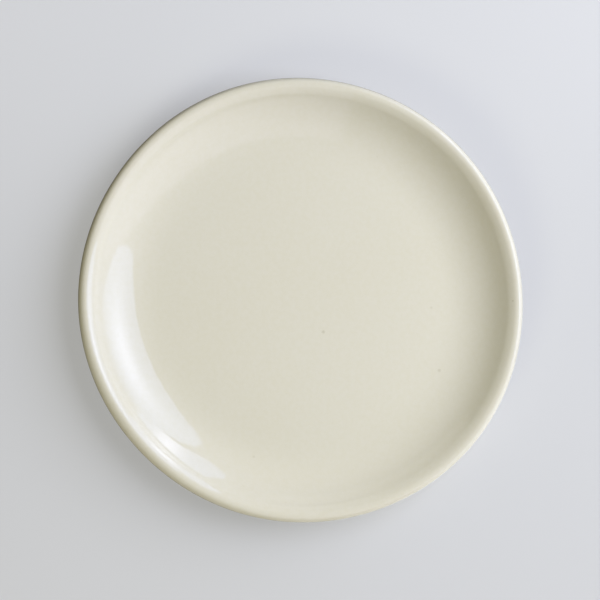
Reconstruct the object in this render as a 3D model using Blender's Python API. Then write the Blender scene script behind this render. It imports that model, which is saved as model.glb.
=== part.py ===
"""Coupe salad plate in glazed stoneware.

A rimless round plate: a broad flat well, a cove that sweeps up into a thick
rounded lip, and a low turned foot ring.  The fired clay body carries two glaze
skins: one coat that runs from the well over the lip and down the outer wall to
the glaze line, and one patch inside the foot ring.  The foot ring itself is
bare clay.

Metres, +Z up.  The origin is on the plate's axis, in the plane of the foot.
+X is the plate's right and +Y its top when it is looked at from above.
"""

import bmesh
import bpy
from math import cos, hypot, pi, radians, sin, tan
from mathutils import Matrix, Vector

# ---- driving dimensions -----------------------------------------------------
SEGMENTS = 72            # facets around the axis

WELL_Z = 0.0093          # height of the well's glazed surface
COVE_START = 0.0646      # radius where the flat well ends and the cove begins
COVE_END = 0.0975        # radius where the cove is steepest
COVE_SLOPE = radians(48.3)  # slope of the inside wall there
COVE_POWER = 1.85        # the slope grows with this power of the distance from COVE_START

SHOULDER = 0.0115        # radius with which the inside wall turns over into the lip
LIP_BREAK = radians(28.6)  # slope where the shoulder meets the lip's own rounding
LIP_INNER = 0.00445      # rounding on the inside of the lip, up to the crest
LIP_OUTER = 0.0029       # from the crest out to the widest ring
LIP_DEPTH = 0.0042       # from the crest down to the widest ring
LIP_UNDER = 0.0030       # rounding below the widest ring
WALL_SLOPE = radians(40)  # slope of the outside wall where it meets the lip

UNDER_Z = 0.0035         # height of the glazed underside above the table
GLAZE_LINE_R = 0.0652    # radius where the outer coat stops, just above the foot

FOOT_OUTER = 0.0632      # outside radius of the foot ring, at the table
FOOT_INNER = 0.0568      # inside radius of the foot ring, at the table
FOOT_EASE = 0.0007       # rounding of the foot ring's two edges
FOOT_DRAFT = 0.0005      # how much wider the foot ring is at its root, each side
FOOT_FILLET = 0.0006     # fillet between the foot ring and the underside

RECESS_GLAZE_R = 0.0550  # radius of the glaze patch inside the foot ring

GLAZE = 0.00042          # thickness of the fired glaze
BOND = 0.00005           # gap kept between the glaze and the clay

OUT_OF_ROUND = 0.0065    # the plate's long axis is longer, and its short axis shorter, by this share
LONG_AXIS = radians(-43.5)  # direction of the long axis, from +X towards +Y

# ---- materials ---------------------------------------------------------------
CLAY_COLOUR = (0.470, 0.330, 0.205)
GLAZE_COLOUR = (0.735, 0.708, 0.590)


def principled(name, colour, roughness):
    material = bpy.data.materials.new(name)
    material.use_nodes = True
    shader = material.node_tree.nodes["Principled BSDF"]
    shader.inputs["Base Color"].default_value = (*colour, 1.0)
    shader.inputs["Roughness"].default_value = roughness
    shader.inputs["Metallic"].default_value = 0.0
    material.diffuse_color = (*colour, 1.0)
    return material


# ---- sections, as (radius, height) points --------------------------------------
def arc(centre, radius, start, end, steps):
    """Points on a circle, by the angle of the outward direction from +r."""
    turn = [start + (end - start) * i / steps for i in range(steps + 1)]
    return [(centre[0] + radius * cos(a), centre[1] + radius * sin(a)) for a in turn]


def cove_line(steps):
    """Radius, height and slope along the cove, its height summed up from its slope."""
    fine = 40
    step = (COVE_END - COVE_START) / (steps * fine)
    line = [(COVE_START, WELL_Z, 0.0)]
    height, last = WELL_Z, 0.0
    for i in range(1, steps * fine + 1):
        slope = COVE_SLOPE * (i / (steps * fine)) ** COVE_POWER
        height += step * (tan(last) + tan(slope)) / 2
        last = slope
        if i % fine == 0:
            line.append((COVE_START + step * i, height, slope))
    return line


# the lip's crest: over the cove's end by the two roundings
LIP_R = COVE_END + SHOULDER * (sin(COVE_SLOPE) - sin(LIP_BREAK)) + LIP_INNER * sin(LIP_BREAK)
TOP_Z = cove_line(8)[-1][1] + SHOULDER * (cos(LIP_BREAK) - cos(COVE_SLOPE)) + LIP_INNER * (1 - cos(LIP_BREAK))


def under_wall():
    """Centre of the rounding under the lip, then centre and radius of the outside wall's section.

    The wall is tangent to that rounding at WALL_SLOPE and to the flat underside.
    """
    ring = (LIP_R + LIP_OUTER - LIP_UNDER, TOP_Z - LIP_DEPTH)
    radius = (ring[1] - LIP_UNDER * cos(WALL_SLOPE) - UNDER_Z) / (1 - cos(WALL_SLOPE))
    return ring, (ring[0] + (LIP_UNDER - radius) * sin(WALL_SLOPE), UNDER_Z + radius), radius


def coat_line(depth):
    """The glazed outline from the axis over the lip to the glaze line, sunk by depth into the plate."""
    line = [(0.0, WELL_Z - depth)]
    # cove: sunk square to its slope
    cove = cove_line(8)
    line += [(r + depth * sin(slope), z - depth * cos(slope)) for r, z, slope in cove]
    # shoulder and lip, up to the crest
    r, z, _ = cove[-1]
    pivot = (r + SHOULDER * sin(COVE_SLOPE), z - SHOULDER * cos(COVE_SLOPE))
    line += arc(pivot, SHOULDER - depth, pi / 2 + COVE_SLOPE, pi / 2 + LIP_BREAK, 2)[1:]
    line += arc((LIP_R, TOP_Z - LIP_INNER), LIP_INNER - depth, pi / 2 + LIP_BREAK, pi / 2, 2)[1:]
    # from the crest out to the widest ring: a quarter of an ellipse
    for i in range(1, 6):
        turn = pi / 2 * (1 - i / 5)
        lean = (cos(turn) / LIP_OUTER, sin(turn) / LIP_DEPTH)
        size = hypot(*lean)
        line.append((
            LIP_R + LIP_OUTER * cos(turn) - depth * lean[0] / size,
            TOP_Z - LIP_DEPTH + LIP_DEPTH * sin(turn) - depth * lean[1] / size,
        ))
    # under the lip, then the outside wall, down to the flat underside
    ring, centre, radius = under_wall()
    line += arc(ring, LIP_UNDER - depth, 0.0, WALL_SLOPE - pi / 2, 3)[1:]
    line += arc(centre, radius - depth, WALL_SLOPE - pi / 2, -pi / 2, 6)[1:]
    line.append((GLAZE_LINE_R, UNDER_Z + depth))
    return line


def foot_line(level):
    """The bare foot ring, from the underside outside it to the recess inside it."""
    root_out = FOOT_OUTER + FOOT_DRAFT
    root_in = FOOT_INNER - FOOT_DRAFT
    line = arc((root_out + FOOT_FILLET, level - FOOT_FILLET), FOOT_FILLET, pi / 2, pi, 2)
    line += arc((FOOT_OUTER - FOOT_EASE, FOOT_EASE), FOOT_EASE, 0.0, -pi / 2, 2)
    line += arc((FOOT_INNER + FOOT_EASE, FOOT_EASE), FOOT_EASE, -pi / 2, -pi, 2)
    line += arc((root_in - FOOT_FILLET, level - FOOT_FILLET), FOOT_FILLET, 0.0, pi / 2, 2)
    return line


def body_section():
    sink = GLAZE + BOND
    level = UNDER_Z + sink
    return coat_line(sink) + foot_line(level) + [(0.0, level)]


def coat_section():
    return coat_line(0.0) + coat_line(GLAZE)[::-1]


def recess_section():
    # a thin disc with a rounded edge, just clear of the clay above it
    half = GLAZE / 2
    edge = arc((RECESS_GLAZE_R - half, UNDER_Z + half), half, pi / 2, -pi / 2, 4)
    return [(0.0, UNDER_Z + GLAZE)] + edge + [(0.0, UNDER_Z)]


# ---- solids ----------------------------------------------------------------------
def turned(name, section, material, parent):
    """A section that starts and ends on the axis, spun once around it."""
    bm = bmesh.new()
    verts = [bm.verts.new((r, 0.0, z)) for r, z in section]
    edges = [bm.edges.new(pair) for pair in zip(verts, verts[1:])]
    bmesh.ops.spin(
        bm,
        geom=verts + edges,
        cent=Vector((0.0, 0.0, 0.0)),
        axis=Vector((0.0, 0.0, 1.0)),
        angle=2 * pi,
        steps=SEGMENTS,
        use_merge=True,
    )
    bmesh.ops.remove_doubles(bm, verts=bm.verts[:], dist=1e-6)
    bmesh.ops.recalc_face_normals(bm, faces=bm.faces[:])

    # hand-made plates are never quite round
    stretch = Matrix.Diagonal((1 + OUT_OF_ROUND, 1 - OUT_OF_ROUND, 1.0, 1.0))
    turn = Matrix.Rotation(LONG_AXIS, 4, "Z")
    bm.transform(turn @ stretch @ turn.inverted())

    mesh = bpy.data.meshes.new(name)
    bm.to_mesh(mesh)
    bm.free()
    mesh.materials.append(material)
    mesh.shade_smooth()
    mesh.set_sharp_from_angle(angle=radians(32))

    piece = bpy.data.objects.new(name, mesh)
    bpy.context.scene.collection.objects.link(piece)
    piece.parent = parent
    return piece


def main():
    for old in list(bpy.data.objects):
        bpy.data.objects.remove(old, do_unlink=True)

    datum = bpy.data.objects.new("plate_axis", None)
    bpy.context.scene.collection.objects.link(datum)

    clay = principled("bare_stoneware", CLAY_COLOUR, 0.85)
    cream = principled("cream_glaze", GLAZE_COLOUR, 0.07)
    cream_under = principled("cream_glaze_recess", GLAZE_COLOUR, 0.12)

    turned("stoneware_body", body_section(), clay, datum)
    turned("glaze_coat", coat_section(), cream, datum)
    turned("foot_recess_glaze", recess_section(), cream_under, datum)


main()
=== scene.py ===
"""Looks of the glazed stoneware coupe plate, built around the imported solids.

Every piece is a turned form made here at full resolution: the clay body with its
bare foot ring, the glaze coat, and the glaze patch inside the foot.  Metres, +Z up,
the plate lies flat with its foot on z = 0.
"""

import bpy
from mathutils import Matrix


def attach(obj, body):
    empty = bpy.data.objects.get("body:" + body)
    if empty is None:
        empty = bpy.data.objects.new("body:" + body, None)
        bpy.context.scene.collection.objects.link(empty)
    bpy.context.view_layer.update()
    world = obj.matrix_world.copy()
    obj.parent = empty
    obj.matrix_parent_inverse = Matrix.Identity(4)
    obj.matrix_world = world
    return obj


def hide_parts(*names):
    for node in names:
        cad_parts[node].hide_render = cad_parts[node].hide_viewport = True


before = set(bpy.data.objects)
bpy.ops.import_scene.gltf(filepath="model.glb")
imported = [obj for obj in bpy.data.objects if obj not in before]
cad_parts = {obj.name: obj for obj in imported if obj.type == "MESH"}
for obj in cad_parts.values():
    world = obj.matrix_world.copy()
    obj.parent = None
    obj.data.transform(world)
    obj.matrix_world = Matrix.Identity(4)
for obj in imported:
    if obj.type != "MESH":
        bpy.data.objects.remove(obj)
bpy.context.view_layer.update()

from math import cos, pi, radians, sin, tan

import bpy
import numpy as np
from mathutils import Matrix, Vector

# ---- the plate's section, as in the solids ---------------------------------------
WELL_Z = 0.0093            # glazed surface of the well
COVE_START = 0.0646        # the cove leaves the flat here
COVE_END = 0.0975          # and reaches its steepest slope here
COVE_SLOPE = radians(48.3)
COVE_POWER = 1.85          # how the slope grows across the cove
SHOULDER = 0.0115          # the face turns over into the lip with this radius
LIP_INNER = 0.00445        # then with this one, up to the crest
LIP_BREAK = radians(28.6)  # the slope where the two meet
LIP_R = COVE_END + SHOULDER * (sin(COVE_SLOPE) - sin(LIP_BREAK)) + LIP_INNER * sin(LIP_BREAK)
LIP_OUTER = 0.0029         # from the crest out to the edge
LIP_DEPTH = 0.0042         # from the crest down to the widest ring
LIP_UNDER = 0.0030         # rounding below that ring
WALL_SLOPE = radians(40)
UNDER_Z = 0.0035
GLAZE_LINE_R = 0.0652
FOOT_OUTER = 0.0632
FOOT_INNER = 0.0568
FOOT_EASE = 0.0007
FOOT_DRAFT = 0.0005
FOOT_FILLET = 0.0006
RECESS_GLAZE_R = 0.0550
GLAZE = 0.00042
BOND = 0.00005

# ---- hand-made irregularity ---------------------------------------------------------
OUT_OF_ROUND = 0.0065      # oval, along LONG_AXIS
LONG_AXIS = radians(-43.5)
LOBES = ((3, 0.0025, radians(-41.5)), (5, 0.0013, radians(-32.4)))
RIM_LIFT = ((2, 0.00022, radians(70)), (3, 0.00014, radians(15)))
WELL_SAG = 0.00025         # the well sinks this much at its middle
CREST_SHIFT = (0.00020, 0.00048, radians(5))      # the crest's own distance from its mean ring: even part, and nearer the edge on one side
CREST_DENT = (-0.0010, radians(214), radians(28))  # and further in along one stretch, where the lip is thicker

SEGMENTS = 300


def cove_heights(count):
    """Radius and height of the cove's surface, from the slope law."""
    r = np.linspace(COVE_START, COVE_END, 40 * count + 1)
    u = (r - COVE_START) / (COVE_END - COVE_START)
    rise = np.tan(COVE_SLOPE * u ** COVE_POWER)
    z = WELL_Z + np.concatenate(([0.0], np.cumsum((rise[1:] + rise[:-1]) / 2 * np.diff(r))))
    slope = COVE_SLOPE * u ** COVE_POWER
    return r[::40], z[::40], slope[::40]


def lip_top():
    _, z, _ = cove_heights(8)
    return z[-1] + SHOULDER * (cos(LIP_BREAK) - cos(COVE_SLOPE)) + LIP_INNER * (1 - cos(LIP_BREAK))


TOP_Z = lip_top()


def under_wall():
    """Centre of the rounding under the lip, then centre and radius of the outer wall below it."""
    ring = (LIP_R + LIP_OUTER - LIP_UNDER, TOP_Z - LIP_DEPTH)
    radius = (ring[1] - LIP_UNDER * cos(WALL_SLOPE) - UNDER_Z) / (1 - cos(WALL_SLOPE))
    return ring, (ring[0] + (LIP_UNDER - radius) * sin(WALL_SLOPE), UNDER_Z + radius), radius


def arc(centre, radius, start, end, steps):
    a = np.linspace(start, end, steps + 1)
    return np.stack([centre[0] + radius * np.cos(a), centre[1] + radius * np.sin(a)], 1)


def coat_line(depth, well, cove, shoulder, inner, outer, under, wall):
    """The glazed outline from the axis over the lip to the flat underside, sunk by depth into the plate."""
    flat = np.linspace(0.0, COVE_START, well + 1)[:-1]
    parts = [np.stack([flat, np.full_like(flat, WELL_Z - depth)], 1)]
    r, z, slope = cove_heights(cove)
    parts.append(np.stack([r + depth * np.sin(slope), z - depth * np.cos(slope)], 1))
    pivot = (r[-1] + SHOULDER * sin(COVE_SLOPE), z[-1] - SHOULDER * cos(COVE_SLOPE))
    parts.append(arc(pivot, SHOULDER - depth, pi / 2 + COVE_SLOPE, pi / 2 + LIP_BREAK, shoulder)[1:])
    parts.append(arc((LIP_R, TOP_Z - LIP_INNER), LIP_INNER - depth, pi / 2 + LIP_BREAK, pi / 2, inner)[1:])
    t = np.linspace(pi / 2, 0.0, outer + 1)[1:]
    edge = np.stack([LIP_R + LIP_OUTER * np.cos(t), TOP_Z - LIP_DEPTH + LIP_DEPTH * np.sin(t)], 1)
    lean = np.stack([np.cos(t) / LIP_OUTER, np.sin(t) / LIP_DEPTH], 1)
    parts.append(edge - depth * lean / np.linalg.norm(lean, axis=1, keepdims=True))
    ring, centre, radius = under_wall()
    parts.append(arc(ring, LIP_UNDER - depth, 0.0, WALL_SLOPE - pi / 2, under)[1:])
    parts.append(arc(centre, radius - depth, WALL_SLOPE - pi / 2, -pi / 2, wall)[1:])
    return np.concatenate(parts)


def foot_line(level, fine):
    root_out, root_in = FOOT_OUTER + FOOT_DRAFT, FOOT_INNER - FOOT_DRAFT
    side = np.linspace(0.0, 1.0, fine)[1:-1, None]
    a = arc((root_out + FOOT_FILLET, level - FOOT_FILLET), FOOT_FILLET, pi / 2, pi, fine)
    b = arc((FOOT_OUTER - FOOT_EASE, FOOT_EASE), FOOT_EASE, 0.0, -pi / 2, fine)
    c = arc((FOOT_INNER + FOOT_EASE, FOOT_EASE), FOOT_EASE, -pi / 2, -pi, fine)
    d = arc((root_in - FOOT_FILLET, level - FOOT_FILLET), FOOT_FILLET, 0.0, pi / 2, fine)
    join = lambda p, q: p[-1] * (1 - side) + q[0] * side
    return np.concatenate([a, join(a, b), b, join(b, c), c, join(c, d), d])


def smooth(x, low, high):
    t = np.clip((x - low) / (high - low), 0.0, 1.0)
    return t * t * (3 - 2 * t)


def waves(points, longest, shortest, count, seed):
    """Smooth seeded noise of unit strength: plane waves in random directions."""
    rng = np.random.default_rng(seed)
    way = rng.normal(size=(count, 3))
    way /= np.linalg.norm(way, axis=1, keepdims=True)
    length = np.exp(rng.uniform(np.log(shortest), np.log(longest), count))
    phase = rng.uniform(0, 2 * pi, count)
    total = np.zeros(len(points))
    for w, k, p in zip(way, 2 * pi / length, phase):
        total += np.cos(points @ w * k + p)
    return total / np.sqrt(count / 2)


def warp(points):
    """The plate's own slight distortion, the same for every piece."""
    x, y, z = points.T.copy()
    r, phi = np.hypot(x, y), np.arctan2(y, x)
    outer = smooth(r, 0.045, 0.105)
    scale = 1 + OUT_OF_ROUND * np.cos(2 * (phi - LONG_AXIS))
    for k, share, peak in LOBES:
        scale = scale + outer * share * np.cos(k * (phi - peak))
    rim = smooth(r, 0.066, 0.106)
    # the lip isn't equally thick all round: its crest moves, its outline stays
    crest = smooth(r, LIP_R - 0.009, LIP_R - 0.001) * (1 - smooth(r, LIP_R, LIP_R + LIP_OUTER)) * smooth(z, TOP_Z - 0.009, TOP_Z - 0.0015)
    turn = (phi - CREST_DENT[1] + pi) % (2 * pi) - pi
    move = CREST_SHIFT[0] + CREST_SHIFT[1] * np.cos(phi - CREST_SHIFT[2]) + CREST_DENT[0] * np.exp(-((turn / CREST_DENT[2]) ** 2))
    scale = scale + crest * move / np.maximum(r, 0.01)
    for k, size, peak in RIM_LIFT:
        z = z + rim * size * np.cos(k * (phi - peak))
    # the well sags between the foot ring
    z = z - np.where(z > 0.006, WELL_SAG * (1 - smooth(r, 0.0, 0.066)), 0.0)
    return np.stack([x * scale, y * scale, z], 1)


def turned(name, line, material, finish=None, shape=None, uv=None, fields=None):
    """A section that starts and ends on the axis, spun around it, then distorted as the plate is."""
    line = np.asarray(line, float)
    n, m = len(line), SEGMENTS
    phi = np.arange(m) * 2 * pi / m
    ring = line[1:-1]
    pts = np.empty((len(ring), m, 3))
    pts[..., 0] = ring[:, :1] * np.cos(phi)
    pts[..., 1] = ring[:, :1] * np.sin(phi)
    pts[..., 2] = ring[:, 1:]
    if shape is not None:
        pts = shape(pts, ring, phi)
    verts = np.concatenate([[[0, 0, line[0, 1]]], pts.reshape(-1, 3), [[0, 0, line[-1, 1]]]])
    verts = warp(verts)
    last = len(verts) - 1
    at = lambda i, j: 1 + i * m + j % m
    j = np.arange(m)
    faces = [(0, int(at(0, a)), int(at(0, a + 1))) for a in j]
    i, jj = np.meshgrid(np.arange(len(ring) - 1), j, indexing="ij")
    quads = np.stack([at(i, jj), at(i + 1, jj), at(i + 1, jj + 1), at(i, jj + 1)], -1).reshape(-1, 4)
    faces += [tuple(q) for q in quads.tolist()]
    faces += [(last, int(at(len(ring) - 1, a + 1)), int(at(len(ring) - 1, a))) for a in j]
    mesh = bpy.data.meshes.new(name)
    mesh.from_pydata(verts.tolist(), [], faces)
    mesh.validate()
    if finish is not None:
        mesh.update()
        normal = np.empty(len(verts) * 3, np.float32)
        mesh.vertex_normals.foreach_get("vector", normal)
        verts = verts + normal.reshape(-1, 3) * finish(verts, line, m)[:, None]
        mesh.vertices.foreach_set("co", verts.astype(np.float32).ravel())
    for label, values in (fields or {}).items():
        column = np.concatenate([[values[0]], np.repeat(values[1:-1], m), [values[-1]]])
        layer = mesh.attributes.new(label, "FLOAT", "POINT")
        layer.data.foreach_set("value", column.astype(np.float32))
    if uv is not None:
        place = uv(line, phi)          # (rings incl. poles, m + 1, 2)
        layer = mesh.uv_layers.new(name="OFBake")
        loops = []
        for a in range(m):
            loops += [place[0, a], place[1, a], place[1, a + 1]]
        for a in range(1, n - 2):
            block = np.stack([place[a, :-1], place[a + 1, :-1], place[a + 1, 1:], place[a, 1:]], 1)
            loops += list(block.reshape(-1, 2))
        for a in range(m):
            loops += [place[-1, a], place[-2, a + 1], place[-2, a]]
        layer.data.foreach_set("uv", np.asarray(loops, np.float32).ravel())
    mesh.materials.append(material)
    mesh.shade_smooth()
    mesh.update()
    piece = bpy.data.objects.new(name, mesh)
    bpy.context.scene.collection.objects.link(piece)
    return piece


# ---- materials -----------------------------------------------------------------------
class Nodes:
    """Short calls for building a node tree."""

    def __init__(self, tree):
        self.tree = tree

    def add(self, kind, inputs=None, **settings):
        node = self.tree.nodes.new(kind)
        for key, value in settings.items():
            setattr(node, key, value)
        for key, value in (inputs or {}).items():
            socket = node.inputs[key]
            if isinstance(value, bpy.types.NodeSocket):
                self.tree.links.new(value, socket)
            else:
                socket.default_value = value
        return node

    def math(self, operation, a, b=0.0, c=0.0, clamp=False):
        return self.add("ShaderNodeMath", {0: a, 1: b, 2: c}, operation=operation, use_clamp=clamp).outputs[0]

    def span(self, value, low, high, out_low=0.0, out_high=1.0, kind="SMOOTHSTEP"):
        return self.add(
            "ShaderNodeMapRange",
            {"Value": value, "From Min": low, "From Max": high, "To Min": out_low, "To Max": out_high},
            interpolation_type=kind,
        ).outputs["Result"]

    def noise(self, vector, scale, detail=2.0, rough=0.5):
        return self.add(
            "ShaderNodeTexNoise", {"Vector": vector, "Scale": scale, "Detail": detail, "Roughness": rough}
        ).outputs["Fac"]

    def mix(self, factor, a, b, blend="MIX"):
        node = self.tree.nodes.new("ShaderNodeMix")
        node.data_type, node.blend_type = "RGBA", blend
        for index, value in ((0, factor), (6, a), (7, b)):
            if isinstance(value, bpy.types.NodeSocket):
                self.tree.links.new(value, node.inputs[index])
            else:
                node.inputs[index].default_value = value
        return node.outputs[2]


def new_material(name):
    material = bpy.data.materials.new(name)
    material.use_nodes = True
    tree = material.node_tree
    tree.nodes.clear()
    made = Nodes(tree)
    shader = made.add("ShaderNodeBsdfPrincipled")
    out = made.add("ShaderNodeOutputMaterial")
    tree.links.new(shader.outputs["BSDF"], out.inputs["Surface"])
    place = made.add("ShaderNodeTexCoord").outputs["Object"]
    return material, made, shader, place


# sparse iron spots in the glaze: x, y on the face, radius, strength
IRON_SPOTS = (
    (0.0107, -0.0150, 0.00120, 0.24),
    (0.0662, -0.0335, 0.00130, 0.20),
    (0.0624, -0.0034, 0.00090, 0.12),
    (0.1004, -0.0002, 0.00060, 0.30),
    (-0.0226, -0.0748, 0.00090, 0.13),
    (0.0365, 0.0688, 0.00060, 0.08),
)


def glaze_material(name, base, roughness):
    material, n, shader, place = new_material(name)
    cloud = n.noise(place, 16.0, 2.0, 0.5)
    mottle = n.noise(place, 95.0, 4.0, 0.6)
    fine = n.noise(place, 420.0, 3.0, 0.7)
    grain = n.noise(place, 900.0, 2.0, 0.6)
    warm = tuple(b * f for b, f in zip(base, (0.992, 0.988, 0.972))) + (1.0,)
    pale = tuple(b * f for b, f in zip(base, (1.007, 1.008, 1.014))) + (1.0,)
    colour = n.mix(n.span(cloud, 0.30, 0.70), warm, pale)
    # the melt is never quite even: a fine mottle, dry cream against clear
    dry = tuple(b * f for b, f in zip(base, (1.018, 1.020, 1.045))) + (1.0,)
    clear = tuple(b * f for b, f in zip(base, (0.982, 0.978, 0.945))) + (1.0,)
    colour = n.mix(0.5, colour, n.mix(n.span(fine, 0.28, 0.72), clear, dry))
    # the glaze runs thin over the lip and lets the clay warm it
    thin = n.add("ShaderNodeAttribute", attribute_name="thin", attribute_type="GEOMETRY").outputs["Fac"]
    thin = n.math("MULTIPLY", thin, n.span(mottle, 0.30, 0.70, 0.55, 1.0))
    colour = n.mix(thin, colour, (base[0] * 0.80, base[1] * 0.72, base[2] * 0.58, 1.0))
    # fine pale and dark grain under the gloss
    colour = n.mix(n.span(grain, 0.62, 0.86, 0.0, 0.10), colour, (base[0] * 0.72, base[1] * 0.66, base[2] * 0.52, 1.0))
    # pin-prick specks, in few of the cells
    cells = n.add(
        "ShaderNodeTexVoronoi", {"Vector": place, "Scale": 150.0, "Randomness": 1.0}, feature="F1", distance="EUCLIDEAN"
    )
    pick = n.add("ShaderNodeSeparateColor", {"Color": cells.outputs["Color"]})
    chosen = n.span(pick.outputs["Red"], 0.955, 0.960, kind="LINEAR")
    radius = n.span(pick.outputs["Green"], 0.0, 1.0, 0.018, 0.050, kind="LINEAR")
    dot = n.math("SUBTRACT", 1.0, n.span(n.math("DIVIDE", cells.outputs["Distance"], radius), 0.45, 1.0))
    pin = n.math("MULTIPLY", n.math("MULTIPLY", dot, chosen), 0.42)
    colour = n.mix(pin, colour, (0.235, 0.165, 0.085, 1.0))
    # the few clear iron spots on the face
    ragged = n.noise(place, 2600.0, 1.0)
    spot = None
    flat = n.add("ShaderNodeVectorMath", {0: place, 1: (1.0, 1.0, 0.0)}, operation="MULTIPLY").outputs[0]
    high = n.add("ShaderNodeSeparateXYZ", {0: place}).outputs["Z"]
    for x, y, size, strength in IRON_SPOTS:
        gap = n.add("ShaderNodeVectorMath", {0: flat, 1: (x, y, 0.0)}, operation="DISTANCE").outputs["Value"]
        gap = n.math("MULTIPLY", gap, n.span(ragged, 0.2, 0.8, 0.75, 1.35, kind="LINEAR"))
        one = n.span(gap, 0.15 * size, size, strength, 0.0)
        spot = one if spot is None else n.math("MAXIMUM", spot, one)
    spot = n.math("MULTIPLY", spot, n.span(high, 0.0080, 0.0088, kind="LINEAR"))
    colour = n.mix(spot, colour, (0.250, 0.205, 0.040, 1.0))
    n.tree.links.new(colour, shader.inputs["Base Color"])
    # gloss: even, a little duller where the glaze is dry
    gloss = n.span(mottle, 0.25, 0.80, roughness * 0.85, roughness * 1.25, kind="LINEAR")
    n.tree.links.new(gloss, shader.inputs["Roughness"])
    shader.inputs["IOR"].default_value = 1.52
    peel = n.noise(place, 420.0, 2.0, 0.45)
    bump = n.add("ShaderNodeBump", {"Strength": 0.10, "Distance": 0.00004, "Height": peel})
    n.tree.links.new(bump.outputs["Normal"], shader.inputs["Normal"])
    return material


def clay_material(name, base):
    material, n, shader, place = new_material(name)
    cloud = n.noise(place, 40.0, 3.0, 0.6)
    sand = n.noise(place, 1500.0, 3.0, 0.7)
    colour = n.mix(
        n.span(cloud, 0.3, 0.7),
        (base[0] * 0.90, base[1] * 0.86, base[2] * 0.80, 1.0),
        (base[0] * 1.08, base[1] * 1.08, base[2] * 1.08, 1.0),
    )
    colour = n.mix(n.span(sand, 0.52, 0.80, 0.0, 0.55), colour, (base[0] * 0.55, base[1] * 0.48, base[2] * 0.42, 1.0))
    colour = n.mix(n.span(sand, 0.20, 0.42, 0.40, 0.0), colour, (base[0] * 1.35, base[1] * 1.38, base[2] * 1.45, 1.0))
    cells = n.add("ShaderNodeTexVoronoi", {"Vector": place, "Scale": 420.0, "Randomness": 1.0}, feature="F1")
    pick = n.add("ShaderNodeSeparateColor", {"Color": cells.outputs["Color"]})
    chosen = n.span(pick.outputs["Red"], 0.86, 0.88, kind="LINEAR")
    dot = n.math("SUBTRACT", 1.0, n.span(cells.outputs["Distance"], 0.10, 0.26))
    colour = n.mix(n.math("MULTIPLY", n.math("MULTIPLY", dot, chosen), 0.75), colour, (0.075, 0.045, 0.025, 1.0))
    n.tree.links.new(colour, shader.inputs["Base Color"])
    rough = n.span(sand, 0.2, 0.8, 0.74, 0.95, kind="LINEAR")
    n.tree.links.new(rough, shader.inputs["Roughness"])
    shader.inputs["IOR"].default_value = 1.45
    bump = n.add("ShaderNodeBump", {"Strength": 0.55, "Distance": 0.00012, "Height": sand})
    n.tree.links.new(bump.outputs["Normal"], shader.inputs["Normal"])
    return material


GLAZE_COLOUR = (0.735, 0.708, 0.590)
CLAY_COLOUR = (0.470, 0.330, 0.205)

cream = glaze_material("cream_glaze_look", GLAZE_COLOUR, 0.045)
cream_recess = glaze_material("cream_glaze_recess_look", tuple(c * 0.98 for c in GLAZE_COLOUR), 0.12)
clay = clay_material("bare_stoneware_look", CLAY_COLOUR)

# ---- pieces --------------------------------------------------------------------------
LIP_OUT_Z = TOP_Z - LIP_DEPTH


def coat_section():
    """The coat's visible line with a rolled edge at the glaze line, and its hidden bonded side."""
    outer = coat_line(0.0, 26, 96, 18, 16, 26, 12, 38)
    run = np.linspace(outer[-1, 0], GLAZE_LINE_R + 0.0010, 4)[1:]
    flat = np.stack([run, np.full_like(run, UNDER_Z)], 1)
    a = np.linspace(-pi / 2, -pi, 9)[1:]
    bead = np.stack([GLAZE_LINE_R + 0.0010 + 0.0010 * np.cos(a), UNDER_Z + GLAZE + GLAZE * np.sin(a)], 1)
    shut = np.array([[GLAZE_LINE_R + 0.00005, UNDER_Z + GLAZE + BOND + 0.00002]])
    hidden = coat_line(GLAZE, 6, 10, 2, 3, 6, 3, 10)[::-1]
    return np.concatenate([outer, flat, bead, shut, hidden]), len(outer), len(outer) + len(flat) + len(bead)


section, lip_to_wall, visible = coat_section()
reach = np.concatenate([[0.0], np.cumsum(np.hypot(*np.diff(section, axis=0).T))])
widest = int(np.argmax(section[:lip_to_wall, 0]))


def coat_uv(line, phi):
    """Face and lip as one disc by true distance from the middle, the wall under the lip as another, the bonded side as a small third."""
    turn = np.concatenate([phi, [2 * pi]])
    way = np.stack([np.cos(turn), np.sin(turn)], 1)
    place = np.zeros((len(line), len(turn), 2))
    face = reach[: widest + 1] / reach[widest] * 0.335
    place[: widest + 1] = np.array([0.342, 0.658]) + face[:, None, None] * way
    for i in range(widest + 1, len(line)):
        if i < visible + 1:
            t = (reach[i] - reach[widest]) / (reach[visible] - reach[widest])
            place[i] = np.array([0.760, 0.240]) + (0.225 - t * 0.110) * way * np.array([-1.0, 1.0])
        else:
            place[i] = np.array([0.070, 0.070]) + 0.06 * min(1.0, line[i, 0] / 0.106) * way
    return place


def coat_finish(verts, line, m):
    """Slow waviness of the fired glaze, and faint turning rings under it on the wall."""
    move = 0.0000075 * waves(verts, 0.045, 0.016, 40, 11) + 0.0000018 * waves(verts, 0.012, 0.006, 40, 12)
    rings = np.zeros(len(line))
    seen = np.arange(len(line)) < visible
    below = np.clip((LIP_OUT_Z - line[:, 1]) / 0.004, 0, 1) * seen * (np.arange(len(line)) > widest)
    along = reach - reach[widest]
    rings += below * 0.000018 * (np.sin(along * 2 * pi / 0.0037) + 0.6 * np.sin(along * 2 * pi / 0.0023 + 1.0))
    per = np.concatenate([[rings[0]], np.repeat(rings[1:-1], m), [rings[-1]]])
    live = np.concatenate([[1.0], np.repeat(seen[1:-1].astype(float), m), [0.0]])
    return (move + per) * live


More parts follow.
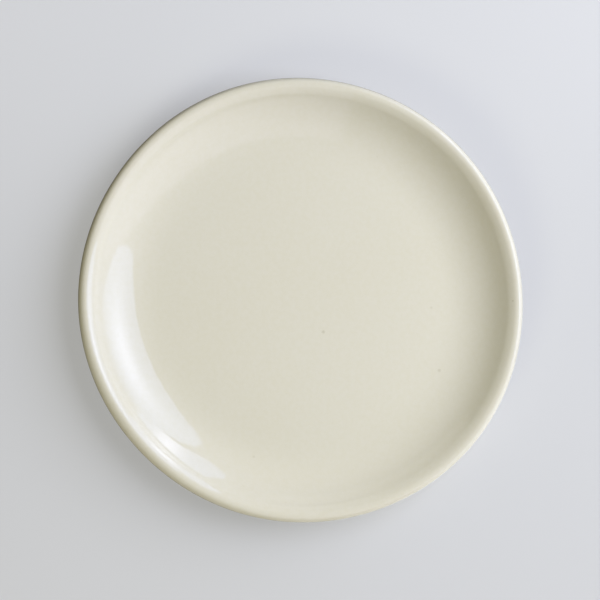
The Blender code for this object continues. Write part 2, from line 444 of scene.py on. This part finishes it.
def coat_shape(pts, ring, phi):
    """The glaze line wanders a little around the foot."""
    wander = 0.00030 * np.sin(3 * phi + 0.4) + 0.00022 * np.sin(7 * phi + 2.0) + 0.00012 * np.sin(13 * phi + 0.9)
    edge = np.zeros(len(ring))
    k = np.arange(1, len(ring) + 1)
    near = np.clip(1 - np.abs(section[1:-1, 0] - GLAZE_LINE_R) / 0.0022, 0, 1)
    edge = np.where((k >= lip_to_wall) & (k <= visible + 1) | (k > visible) & (section[1:-1, 1] < 0.0055), near, 0.0)
    grow = 1 + edge[:, None] * wander[None, :] / np.maximum(ring[:, :1], 1e-6)
    pts = pts.copy()
    pts[..., 0] *= grow
    pts[..., 1] *= grow
    return pts


crest = np.hypot(section[:, 0] - LIP_R, section[:, 1] - TOP_Z)
thin = np.clip(1 - crest / 0.0050, 0, 1) ** 1.5 * 0.05
near_line = np.clip(1 - np.abs(section[:, 0] - GLAZE_LINE_R) / 0.0010, 0, 1) * (section[:, 1] < 0.006)
thin = np.maximum(thin, 0.55 * near_line)

coat = turned("glaze_coat_skin", section, cream, finish=coat_finish, shape=coat_shape, uv=coat_uv, fields={"thin": thin})
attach(coat, "root")
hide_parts("glaze_coat")

sink = GLAZE + BOND
level = UNDER_Z + sink
upper = coat_line(sink, 5, 10, 2, 3, 6, 3, 10)
step = np.linspace(upper[-1, 0], FOOT_OUTER + FOOT_DRAFT + FOOT_FILLET, 6)[1:-1]
floor_in = np.linspace(FOOT_INNER - FOOT_DRAFT - FOOT_FILLET, 0.0, 8)[1:]
body_section = np.concatenate([
    upper,
    np.stack([step, np.full_like(step, level)], 1),
    foot_line(level, 7),
    np.stack([floor_in, np.full_like(floor_in, level)], 1),
])


def body_finish(verts, line, m):
    """Sandy turned clay on the foot ring, kept off the table."""
    foot = (verts[:, 2] < 0.0042) & (np.hypot(verts[:, 0], verts[:, 1]) > 0.055)
    lift = np.clip((verts[:, 2] - 0.0002) / 0.0008, 0, 1)
    return foot * lift * (0.00003 * waves(verts, 0.020, 0.006, 30, 21) + 0.000012 * waves(verts, 0.004, 0.002, 30, 22))


body = turned("stoneware_body_clay", body_section, clay, finish=body_finish)
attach(body, "root")
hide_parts("stoneware_body")

half = GLAZE / 2
disc = np.linspace(0.0, RECESS_GLAZE_R - 0.0008, 30)
top_side = np.stack([disc[::6], np.full_like(disc[::6], UNDER_Z + GLAZE + BOND + 0.00002)], 1)
low_side = np.stack([disc[::-1], np.full_like(disc, UNDER_Z)], 1)
a = np.linspace(pi / 2, -pi / 2, 11)[1:-1]
rim_edge = np.stack([RECESS_GLAZE_R - 0.0008 + 0.0008 * np.cos(a), UNDER_Z + half + half * np.sin(a)], 1)
recess_section = np.concatenate([top_side, rim_edge, low_side])
recess_thin = np.clip(1 - np.abs(recess_section[:, 0] - RECESS_GLAZE_R) / 0.0012, 0, 1) * 0.5


def recess_shape(pts, ring, phi):
    wander = 0.00025 * np.sin(4 * phi + 1.3) + 0.00018 * np.sin(9 * phi + 0.2)
    near = np.clip(1 - np.abs(ring[:, 0] - RECESS_GLAZE_R) / 0.0025, 0, 1)
    grow = 1 + near[:, None] * wander[None, :] / np.maximum(ring[:, :1], 1e-6)
    pts = pts.copy()
    pts[..., 0] *= grow
    pts[..., 1] *= grow
    return pts


recess = turned("foot_recess_glaze_skin", recess_section, cream_recess, shape=recess_shape, fields={"thin": recess_thin})
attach(recess, "root")
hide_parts("foot_recess_glaze")

# ---- floor ---------------------------------------------------------------------------
BACKDROP = (0.660, 0.680, 0.715)
FLOOR_COLOUR = (0.360, 0.364, 0.364)
FLOOR_GLOW = (0.285, 0.288, 0.300)   # a glow only the camera sees, which lights nothing: painted light that keeps the floor pale in the plate's shadow and in the distance
FLOOR_BOUNCE = ((0.22, 0.22, 0.22), (0.64, 0.64, 0.60))
floor_look, n, shader, place = new_material("plain_floor")
tone = n.noise(place, 2.2, 2.0, 0.5)
paper = n.mix(n.span(tone, 0.3, 0.7), tuple(c * 0.985 for c in FLOOR_COLOUR) + (1.0,), tuple(c * 1.01 for c in FLOOR_COLOUR) + (1.0,))
# away from the plate it runs out into the backdrop
off = n.add("ShaderNodeVectorMath", {0: place}, operation="LENGTH").outputs["Value"]
paper = n.mix(n.span(off, 0.20, 0.90), paper, (0.070, 0.071, 0.073, 1.0))
# it throws back less light than it shows, as a backdrop that stands further off would, and least on the side away from the lamps
across = n.add("ShaderNodeSeparateXYZ", {0: place})
side = n.span(across.outputs["X"], -0.11, 0.10)
near = n.span(across.outputs["Y"], -0.10, 0.02, 1.58, 0.70)
bounce = n.mix(side, *((*colour, 1.0) for colour in FLOOR_BOUNCE))
bounce = n.add("ShaderNodeVectorMath", {0: bounce, "Scale": near}, operation="SCALE").outputs[0]
seen = n.add("ShaderNodeLightPath").outputs["Is Camera Ray"]
n.tree.links.new(n.mix(seen, bounce, paper), shader.inputs["Base Color"])
# painted light: the floor's glow is made brighter toward the plate's top (+Y), as on a lit backdrop
painted_top_glow = n.span(across.outputs["Y"], -0.02, 0.16, 1.0, 1.22)
glow = n.add("ShaderNodeVectorMath", {0: FLOOR_GLOW, "Scale": painted_top_glow}, operation="SCALE").outputs[0]
glow = n.mix(n.span(off, 0.20, 1.20), glow, tuple(c - 0.015 for c in BACKDROP) + (1.0,))
n.tree.links.new(glow, shader.inputs["Emission Color"])
n.tree.links.new(seen, shader.inputs["Emission Strength"])
floor_look.cycles.emission_sampling = "NONE"   # it lights nothing by that glow
shader.inputs["Roughness"].default_value = 0.75
shader.inputs["Specular IOR Level"].default_value = 0.25
floor_mesh = bpy.data.meshes.new("floor")
FLOOR_HALF = 6.0
floor_mesh.from_pydata(
    [(-FLOOR_HALF, -FLOOR_HALF, 0), (FLOOR_HALF, -FLOOR_HALF, 0), (FLOOR_HALF, FLOOR_HALF, 0), (-FLOOR_HALF, FLOOR_HALF, 0)],
    [], [(0, 1, 2, 3)],
)
floor_mesh.materials.append(floor_look)
floor = bpy.data.objects.new("floor", floor_mesh)
bpy.context.scene.collection.objects.link(floor)


# ---- light ---------------------------------------------------------------------------
def facing(tilt, azimuth):
    """Axes of a panel that faces the plate from the given direction: across, up and away."""
    t, a = radians(tilt), radians(azimuth)
    away = Vector((sin(t) * cos(a), sin(t) * sin(a), cos(t)))
    across = Vector((-sin(a), cos(a), 0.0))
    return across, away.cross(across), away


def softbox(name, tilt, azimuth, distance, outline, core, core_size, hot, fade, level, colour, core_colour=None):
    """The glowing cloth of a softbox or a window, as the glaze mirrors it.

    outline holds its corners in its own plane, in metres: first across, anticlockwise
    around the plate's axis, then up.  Its middle can glow hotter than its cloth, and in
    another colour, and fade gives the heights between which it goes from one share of its
    glow to another.
    """
    across, up, away = facing(tilt, azimuth)
    mesh = bpy.data.meshes.new(name)
    mesh.from_pydata([(u, v, 0.0) for u, v in outline], [], [tuple(range(len(outline)))[::-1]])
    look = bpy.data.materials.new(name)
    look.use_nodes = True
    look.cycles.emission_sampling = "NONE"   # only the glaze's own reflection looks for it
    made = Nodes(look.node_tree)
    made.tree.nodes.clear()
    spot = made.add("ShaderNodeTexCoord").outputs["Object"]
    part = made.add("ShaderNodeSeparateXYZ", {0: spot})
    du = made.math("DIVIDE", made.math("SUBTRACT", part.outputs["X"], core[0]), core_size[0])
    dv = made.math("DIVIDE", made.math("SUBTRACT", part.outputs["Y"], core[1]), core_size[1])
    gap = made.math("ADD", made.math("MULTIPLY", du, du), made.math("MULTIPLY", dv, dv))
    bulb = made.math("MULTIPLY", made.math("EXPONENT", made.math("MULTIPLY", gap, -0.5)), hot)
    glow = made.math("ADD", bulb, 1.0)
    shade = made.mix(made.math("DIVIDE", bulb, glow), (*colour, 1.0), (*(core_colour or colour), 1.0))
    glow = made.math("MULTIPLY", glow, made.span(part.outputs["Y"], *fade))
    front = made.math("SUBTRACT", 1.0, made.add("ShaderNodeNewGeometry").outputs["Backfacing"])
    power = made.math("MULTIPLY", made.math("MULTIPLY", glow, front), level)
    made.tree.nodes[-1].name = "level"
    cloth = made.add("ShaderNodeEmission", {"Color": shade, "Strength": power})
    out = made.add("ShaderNodeOutputMaterial")
    made.tree.links.new(cloth.outputs[0], out.inputs["Surface"])
    mesh.materials.append(look)
    panel = bpy.data.objects.new(name, mesh)
    panel.matrix_world = Matrix.Translation(away * distance) @ Matrix((across, up, away)).transposed().to_4x4()
    panel.visible_camera = False
    panel.visible_shadow = False
    panel.visible_diffuse = False
    bpy.context.scene.collection.objects.link(panel)
    return panel


KEY = (
    47, 17, 0.85,
    ((0.02, 0.65), (-0.09, 0.56), (-0.20, 0.44), (-0.33, 0.20), (-0.42, -0.02), (-0.38, -0.18), (-0.30, -0.34), (-0.10, -0.50),
     (0.20, -0.48), (0.33, -0.28), (0.40, 0.02), (0.37, 0.18), (0.30, 0.36), (0.20, 0.50), (0.10, 0.60)),
    (0.02, 0.09), (0.13, 0.15), 1.0, (-0.50, -0.12, 0.20, 1.0),
)
SIDE = (
    72, 48, 1.15,
    ((0.19, 0.49), (0.10, 0.41), (0.03, 0.30), (-0.10, 0.25), (-0.18, 0.15), (-0.24, 0.0), (-0.27, -0.35), (0.27, -0.35),
     (0.31, -0.08), (0.35, 0.10), (0.33, 0.28), (0.27, 0.41)),
    (-0.06, 0.0), (0.10, 0.24), 0.9, (-1.0, -0.9, 0.9, 1.0),
)
# as the glaze mirrors them, their middles are hotter
KEY_GLINT = (*KEY[:6], 1.74, KEY[7])
SIDE_GLINT = (*SIDE[:4], (-0.005, 0.0), (0.060, 0.30), 2.3, SIDE[7])
GLINT = (0.785, 1.0, 1.735)
softbox("key_glint", *KEY_GLINT, 1.75, GLINT, (0.95, 1.0, 1.35))
softbox("side_glint", *SIDE_GLINT, 1.55, GLINT, (1.0, 1.0, 1.20))
# a large dim panel on the other side, only mirrored
WINDOW = (
    55, -58, 1.20,
    ((0.07, 0.885), (-0.02, 0.93), (-0.10, 1.01), (-0.16, 1.13), (-0.31, 1.19), (-1.44, -0.63), (1.39, -0.63), (0.82, 0.24),
     (0.60, 0.365), (0.34, 0.61), (0.18, 0.75)),
    (0.25, 0.20), (0.38, 0.90), 0.65, (-2.0, -1.9, 1.0, 1.0),
)
softbox("window_glint", *WINDOW, 0.48, (1.0, 0.95, 1.28))
# and one past the plate's top
BACK = (
    68, 112, 1.20,
    ((0.72, 0.14), (-0.76, 0.14), (-0.80, -0.38), (0.76, -0.38)),
    (0.0, 0.0), (1.0, 1.0), 0.0, (-0.03, 0.12, 1.0, 0.0),
)
softbox("back_glint", *BACK, 0.80, (1.05, 1.0, 0.75))


def lamp(name, tilt, azimuth, distance, middle, size, power, colour, shape="RECTANGLE"):
    """A diffused lamp that only lights: what the glaze mirrors of it is the cloth above."""
    across, up, away = facing(tilt, azimuth)
    light = bpy.data.lights.new(name, "AREA")
    light.shape = shape
    light.size, light.size_y = size
    light.energy = power
    light.color = colour
    stand = bpy.data.objects.new(name, light)
    stand.matrix_world = (
        Matrix.Translation(away * distance + across * middle[0] + up * middle[1])
        @ Matrix((across, up, away)).transposed().to_4x4()
    )
    stand.visible_camera = False
    stand.visible_glossy = False
    bpy.context.scene.collection.objects.link(stand)
    return stand


lamp("key_softbox", *KEY[:3], (0.008, 0.077), (0.644, 0.820), 8.02, (0.972, 1.0, 1.125))
lamp("side_softbox", *SIDE[:3], (0.038, -0.008), (0.527, 0.690), 1.44, (0.83, 1.0, 1.60))
lamp("fill_left", 45, 240, 1.25, (0.0, 0.0), (0.55, 0.55), 4.15, (1.0, 0.98, 0.74), "DISK")
lamp("fill_low", 78, 270, 1.25, (0.0, 0.0), (0.55, 0.55), 2.18, (1.0, 0.89, 0.76), "DISK")

# a dim room, a little lighter toward the plate's top; the camera sees a pale backdrop
world = bpy.data.worlds.new("soft_room")
bpy.context.scene.world = world
world.use_nodes = True
sky = Nodes(world.node_tree)
sky.tree.nodes.clear()
way = sky.add("ShaderNodeSeparateXYZ", {0: sky.add("ShaderNodeTexCoord").outputs["Generated"]})
room = None
for axis, sign, colour in (("X", 1.0, (0.207, 0.212, 0.290)), ("Y", 1.0, (0.352, 0.300, 0.100))):
    lobe = sky.math("MAXIMUM", sky.math("MULTIPLY", way.outputs[axis], sign), 0.0)
    tint = sky.add("ShaderNodeVectorMath", {0: colour, "Scale": lobe}, operation="SCALE").outputs[0]
    room = tint if room is None else sky.add("ShaderNodeVectorMath", {0: room, 1: tint}, operation="ADD").outputs[0]
seen = sky.add("ShaderNodeLightPath").outputs["Is Camera Ray"]
back = sky.add("ShaderNodeBackground", {"Color": sky.mix(seen, room, (*BACKDROP, 1.0))})
sky.tree.links.new(back.outputs[0], sky.add("ShaderNodeOutputWorld").inputs["Surface"])

# ---- camera, looking straight down the plate's axis -------------------------------------
EYE = 1.22
WIDTH = 0.2850             # what the frame spans at the lip
lens = bpy.data.cameras.new("camera")
lens.sensor_width = 36.0
lens.lens = 36.0 * (EYE - 0.0195) / WIDTH
lens.clip_start, lens.clip_end = 0.05, 50.0
camera = bpy.data.objects.new("camera", lens)
camera.location = (-0.00048, 0.00024, EYE)
bpy.context.scene.collection.objects.link(camera)
bpy.context.scene.camera = camera
bpy.context.scene.view_settings.view_transform = "Standard"

bpy.context.view_layer.update()
